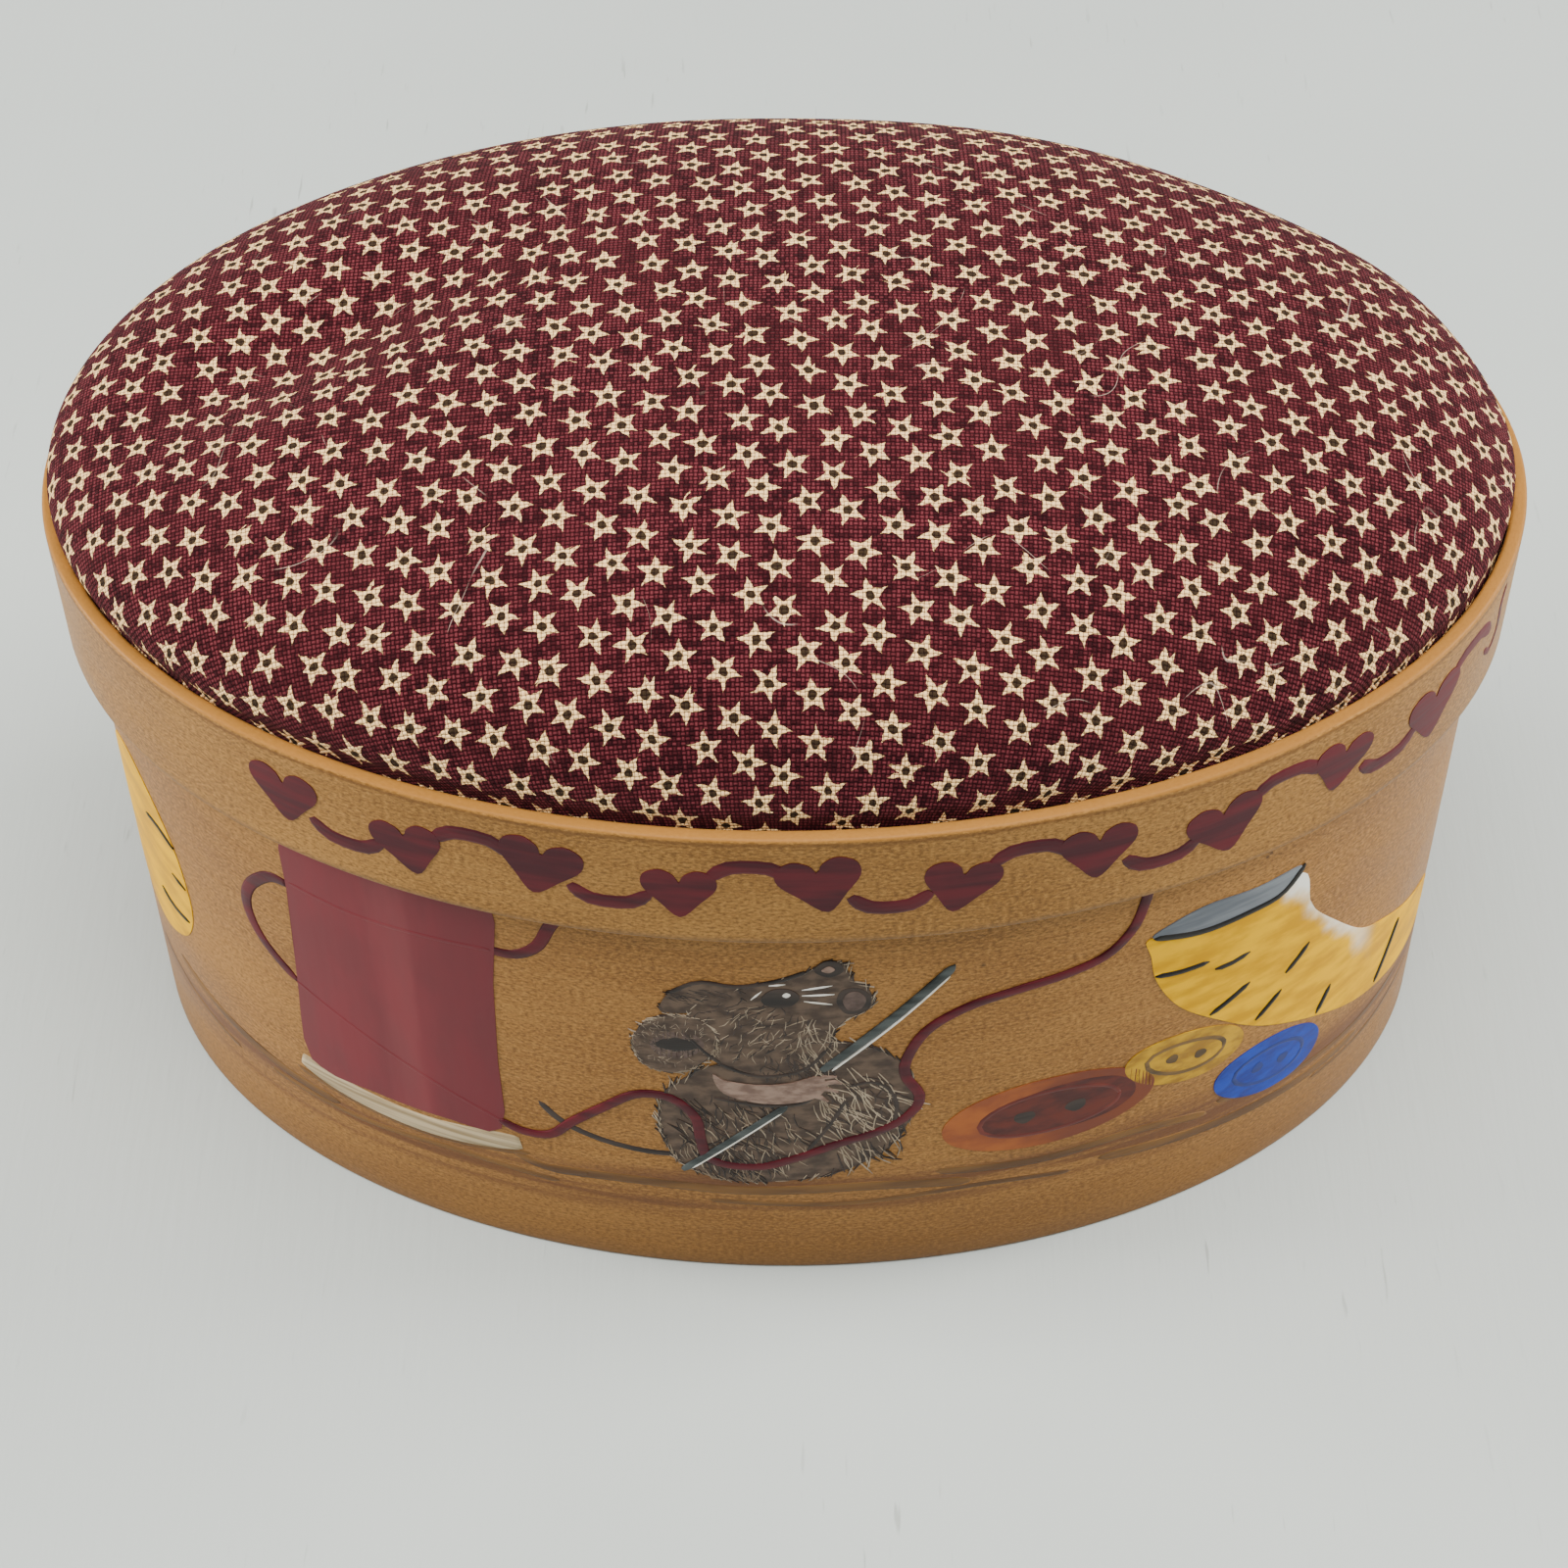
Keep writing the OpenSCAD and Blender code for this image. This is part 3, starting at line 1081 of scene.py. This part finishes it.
skin = bmesh.new()
film(skin, [
    (-7, 35), (-5.5, 34), (-2, 33.5), (1, 34), (3.5, 35), (4.5, 33.5),
    (3.5, 31.5), (1, 30.5), (-2.5, 30.5), (-6, 32),
], lift=0.10)
film(skin, [
    (3.9, 52.3), (4.6, 52.9), (5.2, 52.4), (4.6, 51.9),
], lift=0.18, thick=0.04)
for finger in (
    [(3.2, 34.0), (4.4, 34.9), (5.5, 34.8)],
    [(3.4, 33.4), (4.9, 34.0), (6.0, 33.6)],
    [(3.2, 32.6), (4.6, 32.8), (5.6, 32.2)],
    [(2.8, 31.8), (3.8, 31.4), (4.6, 30.6)],
):
    stroke(skin, finger, 0.7, lift=0.14, tail=0.7, tip=0.4)
painted_piece("mouse_skin", skin, mouse_pink)

chance_of = np.random.default_rng(7)


def hair(bm, root, middle, end, width):
    """One hair of paint, fine at its end, over the coats below it."""
    stroke(
        bm, [root, middle, end], width, lift=0.10, thick=0.05, tail=0.5,
        tip=0.05, steps=3,
    )


def hairs_over(bm, centre, reach, count, heading, spread, length, width):
    """Short curved hairs scattered over an oval patch, all in millimetres."""
    for _ in range(count):
        turn = chance_of.uniform(0, 2 * math.pi)
        out = math.sqrt(chance_of.uniform(0, 1))
        root = np.array(centre) + out * np.array(
            [reach[0] * math.cos(turn), reach[1] * math.sin(turn)]
        )
        lie = math.radians(heading + chance_of.normal(0, spread))
        long = length * chance_of.uniform(0.6, 1.3)
        way = np.array([math.cos(lie), math.sin(lie)])
        sag = np.array([-way[1], way[0]]) * long * chance_of.normal(0, 0.12)
        hair(bm, root, root + way * long / 2 + sag, root + way * long, width)


def fringe(bm, outline, count, lean, length, width):
    """Short hairs rooted on a closed outline that lean out over its edge, at
    lean degrees, with length and width in millimetres."""
    outline = curve(outline, closed=True)
    lean = math.radians(lean)
    way = np.array([math.cos(lean), math.sin(lean)])
    for _ in range(count):
        i = int(chance_of.integers(len(outline)))
        ahead = outline[(i + 1) % len(outline)] - outline[i - 1]
        ahead = ahead / np.linalg.norm(ahead)
        out = ahead * np.sign(ahead @ way) + way * 0.6
        out = out / np.linalg.norm(out)
        out = out + chance_of.normal(0, 0.25, 2)
        long = length * chance_of.uniform(0.6, 1.3)
        root = outline[i] / MM - out * long * 0.6
        hair(bm, root, root + out * long / 2, root + out * long, width)


pale_hairs = bmesh.new()
hairs_over(pale_hairs, (-4, 24), (7, 6), 90, -70, 20, 2.4, 0.11)
hairs_over(pale_hairs, (7.4, 28.5), (4.5, 8), 80, -62, 16, 4.2, 0.13)
hairs_over(pale_hairs, (-2, 42), (6, 4.5), 80, -120, 30, 1.7, 0.10)
hairs_over(pale_hairs, (3.5, 41), (2, 4), 34, -80, 15, 3.2, 0.12)
hairs_over(pale_hairs, (-10.8, 40), (3.8, 4.2), 90, 150, 60, 1.3, 0.10)
fringe(pale_hairs, body_line, 60, -80, 2.0, 0.14)
fringe(pale_hairs, low_ear, 70, 150, 1.3, 0.16)
fringe(pale_hairs, head_line, 46, -140, 1.4, 0.12)
painted_piece("pale_fur", pale_hairs, fur_pale)
dark_hairs = bmesh.new()
hairs_over(dark_hairs, (-5, 26), (7, 7), 90, -70, 20, 2.8, 0.16)
hairs_over(dark_hairs, (-5, 20.5), (5, 3), 70, -60, 25, 2.2, 0.18)
hairs_over(dark_hairs, (1, 37), (4, 2), 50, -80, 25, 2.0, 0.18)
hairs_over(dark_hairs, (8, 28), (4.5, 8), 46, -60, 25, 3.2, 0.2)
hairs_over(dark_hairs, (-3, 44), (6, 4), 46, -120, 30, 1.8, 0.18)
hairs_over(dark_hairs, (-7.5, 47.4), (3, 1.6), 26, 160, 20, 2.0, 0.18)
hairs_over(dark_hairs, (-10.5, 39.6), (2.8, 2.0), 90, 150, 40, 1.3, 0.20)
fringe(dark_hairs, body_line, 120, -80, 1.8, 0.20)
fringe(dark_hairs, low_ear, 46, 150, 1.2, 0.18)
fringe(dark_hairs, high_ear, 30, 170, 1.2, 0.20)
fringe(dark_hairs, head_line, 90, -140, 1.4, 0.18)
painted_piece("dark_fur", dark_hairs, mouse_dark)

whites = bmesh.new()
for near, far in (
    ((2.0, 49.2), (5.0, 49.8)), ((2.0, 48.3), (5.2, 48.4)),
    ((2.2, 47.4), (5.0, 46.8)), ((-3.0, 47.6), (-1.9, 49.0)),
    ((-1.2, 49.9), (0.4, 50.1)),
):
    stroke(whites, [near, far], 0.22, lift=0.14, tip=0.1)
film(whites, [
    (0.1, 48.4), (0.5, 48.8), (0.9, 48.5), (0.5, 48.1),
], lift=0.18, thick=0.04)
painted_piece("whiskers", whites, white_paint)


# Painted needles: two steel-grey needles with a pale edge, one held up by the
# mouse and one lying at its feet.
steel_paint, *_ = acrylic(
    "steel_paint", (0.020, 0.024, 0.024), (0.070, 0.080, 0.078)
)
needles = bmesh.new()
stroke(needles, [
    (4, 36), (11, 44), (17, 51.5),
], 1.0, lift=0.22, tail=0.7, tip=0.05)
stroke(needles, [
    (-10.5, 18), (-5, 24), (0.5, 30),
], 0.9, lift=0.22, tail=0.6, tip=0.1)
painted_piece("needles", needles, steel_paint, smooth=True)
glints = bmesh.new()
stroke(glints, [
    (5, 36), (11.5, 43.5), (16.5, 50),
], 0.22, lift=0.26, thick=0.04, tip=0.05)
stroke(glints, [
    (-9.5, 18.5), (-4.5, 24), (0, 29),
], 0.25, lift=0.26, thick=0.04, tip=0.05)
painted_piece("needle_glints", glints, white_paint)


# Painted buttons: a large dished orange-brown one, a yellow one and a blue one
# lie in a row at the right, each with a ring inside its rim and two holes.
def oval_line(centre, reach, turn, wobble=0.0, count=14):
    """A hand-drawn oval about a centre, in millimetres."""
    points = []
    for i in range(count):
        t = 2 * math.pi * i / count
        far = 1 + wobble * math.sin(3 * t + centre[0])
        x, y = reach[0] * far * math.cos(t), reach[1] * far * math.sin(t)
        c, s = math.cos(math.radians(turn)), math.sin(math.radians(turn))
        points.append((centre[0] + c * x - s * y, centre[1] + s * x + c * y))
    return points


def button(name, centre, reach, turn, face_paint, ring_paint, hole_paint):
    """A painted button: its face, the ring inside its rim and its holes."""
    disc = bmesh.new()
    film(disc, oval_line(centre, reach, turn, 0.02))
    painted_piece(name, disc, face_paint)
    ring = bmesh.new()
    inner = (reach[0] * 0.66, reach[1] * 0.60)
    line = oval_line(centre, inner, turn, 0.03)
    stroke(
        ring, line + line[:1], 0.7, lift=0.06, thick=0.05, tail=0.6, tip=0.6,
    )
    painted_piece(name + "_ring", ring, ring_paint, smooth=True)
    holes = bmesh.new()
    c, s = math.cos(math.radians(turn)), math.sin(math.radians(turn))
    for side in (-1, 1):
        shift = side * reach[0] * 0.24
        spot = (centre[0] + c * shift, centre[1] + s * shift)
        small = (reach[0] * 0.10, reach[1] * 0.17)
        film(
            holes, oval_line(spot, small, turn, 0.1, 8), lift=0.06, thick=0.04,
        )
    painted_piece(name + "_holes", holes, hole_paint)


orange_paint, tree, shader, where, tone = acrylic(
    "orange_paint", (0.22, 0.050, 0.012), (0.34, 0.095, 0.020), (200, 300, 1)
)
along = axis(tree, where, 0)
browned = blend(
    tree, fade(tree, calc(tree, "ADD", along, calc(
        tree, "MULTIPLY_ADD", grain(tree, where, (250, 400, 1)), 10 * MM,
        -5 * MM)), 21 * MM, 31 * MM, 0.0, 0.8), tone, (0.115, 0.024, 0.012),
)
tint(tree, shader, browned)
rust_paint, *_ = acrylic(
    "rust_paint", (0.085, 0.014, 0.012), (0.150, 0.030, 0.022)
)
ochre_paint, *_ = acrylic(
    "ochre_paint", (0.26, 0.125, 0.004), (0.52, 0.29, 0.008), (300, 500, 1)
)
umber_paint, *_ = acrylic(
    "umber_paint", (0.060, 0.034, 0.012), (0.16, 0.09, 0.03)
)
blue_paint, *_ = acrylic(
    "blue_paint", (0.002, 0.014, 0.19), (0.010, 0.045, 0.36), (300, 500, 1)
)
navy_paint, *_ = acrylic(
    "navy_paint", (0.010, 0.020, 0.12), (0.02, 0.035, 0.18)
)
dished = bmesh.new()
film(
    dished, oval_line((29.2, 24.3), (8.6, 3.9), 2, 0.05), lift=0.04,
    thick=0.05,
)
dished_paint, *_ = acrylic(
    "dished_paint", (0.050, 0.008, 0.007), (0.115, 0.022, 0.014), (220, 420, 1)
)
painted_piece("button_dish", dished, dished_paint)
button("button_orange", (28.0, 24.0), (11.6, 5.8), 2, orange_paint,
       rust_paint, mouse_dark)
button("button_yellow", (43.2, 26.6), (7.3, 4.2), -14, ochre_paint,
       umber_paint, umber_paint)
button("button_blue", (54.8, 17.8), (7.4, 4.8), -12, blue_paint,
       navy_paint, navy_paint)


# Painted tape measure: a curl of yellow tape with a grey-blue underside, a
# white highlight on its turn, and plain black marks without numbers. A second
# end of tape shows at the left end of the box.
tape_paint, tree, shader, where, tone = acrylic(
    "tape_paint", (0.54, 0.265, 0.0), (0.78, 0.42, 0.0), (150, 400, 1)
)
shader.inputs["Specular IOR Level"].default_value = 0.03
from_turn = add(
    tree, "VectorMath",
    {0: add(tree, "VectorMath", {0: where, 1: (54.5 * MM, 49.5 * MM, 0)},
            operation="SUBTRACT"),
     1: (-0.823, -0.568, 0)}, 1, operation="DOT_PRODUCT",
)
ragged = calc(
    tree, "MULTIPLY_ADD", grain(tree, where, (260, 200, 1), 3.0), 4 * MM,
    -2 * MM,
)
highlight = calc(
    tree, "MULTIPLY",
    fade(tree, calc(tree, "ADD", from_turn, ragged), 3.4 * MM, 0.4 * MM),
    fade(tree, axis(tree, where, 0), 70 * MM, 63 * MM),
)
tone = blend(tree, highlight, tone, (0.86, 0.84, 0.76))
tint(tree, shader, tone)
tape = bmesh.new()
film(tape, [
    (37, 49), (37.5, 46), (38.5, 41.5), (41.5, 36), (46.5, 31), (52.5, 26),
    (60.5, 21.5), (67.5, 18), (74, 16), (80, 15), (84, 15.5), (85, 21.5),
    (82, 24), (77, 26), (71, 29), (66.5, 31.5), (61.5, 37), (57, 43),
    (55, 49.5), (48, 48), (42, 48),
])
film(tape, [
    (-79.5, 49), (-76, 48), (-72, 43.5), (-70, 38), (-69.5, 31), (-71.5, 25.5),
    (-75, 22.5), (-79, 21.5), (-84, 24), (-87, 31), (-86.5, 40), (-84, 46.5),
])
painted_piece("tape", tape, tape_paint)
slate_paint, *_ = acrylic(
    "slate_paint", (0.090, 0.100, 0.120), (0.190, 0.205, 0.225)
)
underside = bmesh.new()
film(underside, [
    (37.5, 49), (39.5, 50.5), (43.5, 51.5), (49, 51), (54.5, 51), (52.5, 48.5),
    (48.5, 47.5), (43.5, 47.5),
], lift=0.05)
painted_piece("tape_inside", underside, slate_paint)
marks_paint, *_ = acrylic(
    "marks_paint", (0.006, 0.005, 0.005), (0.020, 0.017, 0.015)
)
ticks = bmesh.new()
for line, width in (
    ([(37.5, 49), (43, 47.5), (48.5, 47.5), (52.5, 48), (55, 51)], 0.5),
    ([(38.2, 42.6), (41.0, 42.0), (44.4, 41.9)], 0.4),
    ([(45.4, 32.4), (47.6, 33.6), (50.0, 35.2)], 0.45),
    ([(51.6, 27.6), (53.0, 29.0), (54.6, 30.8)], 0.4),
    ([(60.8, 21.8), (61.6, 23.6), (62.4, 25.6)], 0.4),
    ([(71.6, 17.4), (73.2, 20.8), (75.0, 25.2)], 0.45),
    ([(45.2, 40.2), (47.0, 40.0), (49.4, 40.6)], 0.4),
    ([(54.8, 33.4), (56.2, 34.8), (57.6, 36.6)], 0.4),
    ([(-70.6, 40.6), (-73.6, 41.6), (-76.4, 41.2)], 0.3),
    ([(-69.8, 34.6), (-72.4, 35.0)], 0.3),
    ([(-70.6, 28.4), (-74.0, 28.0), (-76.6, 28.8)], 0.3),
):
    stroke(ticks, line, 1.7 * width, lift=0.15, tip=0.1)
painted_piece("tape_marks", ticks, marks_paint, smooth=True)


# Painted lid border: a burgundy thread waves along the front of the lid band
# through a row of small hearts, brushed on in the same paint.
border = bmesh.new()
LOBE = [(0.30, -0.22), (0.52, 0.08), (0.50, 0.34), (0.28, 0.46), (0.08, 0.36)]
HEART = [(0, -0.55), *LOBE, (0, 0.20), *((-x, y) for x, y in LOBE[::-1])]
HEARTS, FIRST, WAVE, MIDDLE = 10, -49, 13.2, 67.3
for i in range(HEARTS):
    left = FIRST + i * WAVE
    rise = 2.6 if i % 2 else -2.6
    stroke(border, [
        (left + 2.8, MIDDLE + 0.5 * rise),
        (left + WAVE * 0.36, MIDDLE + 1.15 * rise),
        (left + WAVE * 0.64, MIDDLE + 1.15 * rise),
        (left + WAVE - 2.8, MIDDLE + 0.5 * rise),
    ], 1.9, tail=0.5, tip=0.5)
    tilt = math.radians(12 * math.sin(2.1 * i))
    size = 7.2 + 0.5 * math.sin(3.7 * i)
    c, s = math.cos(tilt), math.sin(tilt)
    film(border, [
        (left + size * (c * x - s * y),
         MIDDLE - 0.3 * rise + size * (s * x + c * y))
        for x, y in HEART
    ], steps=4)
stroke(border, [
    (79.8, 66.2), (81.6, 64.6), (83.2, 66.6), (82.8, 70.2), (83.6, 72.4),
], 0.9, tail=0.4, tip=0.1)
painted_piece("lid_border", border, thread_red, body="lid")
